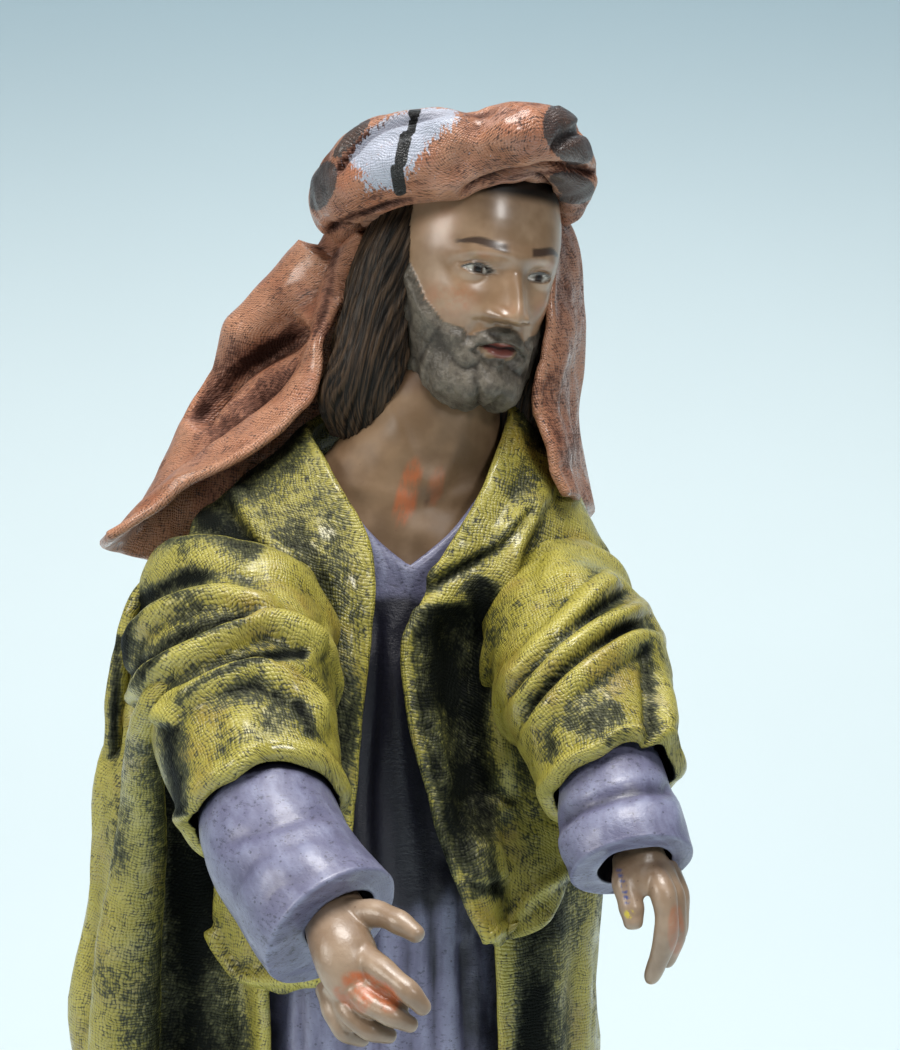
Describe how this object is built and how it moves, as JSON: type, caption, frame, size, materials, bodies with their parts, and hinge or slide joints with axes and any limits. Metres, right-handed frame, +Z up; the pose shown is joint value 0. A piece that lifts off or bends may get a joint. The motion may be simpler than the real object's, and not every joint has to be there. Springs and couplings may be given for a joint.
{
  "type": "shepherd figurine",
  "caption": "Standing nativity shepherd of painted clay in stiffened cloth, arms held forward, with a long open coat, headcloth, rolled headband and a low oval base.",
  "frame": {"origin": "middle of the base's underside", "axes": "+Z up from the base to the headband; the figure faces -Y, and its right hand is on the -X side"},
  "size_m": [0.074, 0.0901, 0.2193],
  "materials": {
    "painted_clay": "fired clay, dry-brushed lavender grey over dark navy, semi-gloss varnish",
    "mustard_cloth": "glue-stiffened plain weave, mustard olive dry-brushed over near black",
    "terracotta_cloth": "glue-stiffened plain weave, terracotta dry-brushed over dark red-brown",
    "striped_cloth": "glue-stiffened plain weave, terracotta with white and dark grey patches",
    "painted_skin": "painted clay skin, satin varnish with orange-brown shading",
    "painted_ground": "painted clay ground, matt, dry-brushed earth brown"
  },
  "bodies": {
    "root": {"clay_body": "painted_clay", "coat": "mustard_cloth", "headcloth": "terracotta_cloth", "headband": "striped_cloth", "right_hand": "painted_skin", "left_hand": "painted_skin", "base": "painted_ground"}
  },
  "joints": []
}
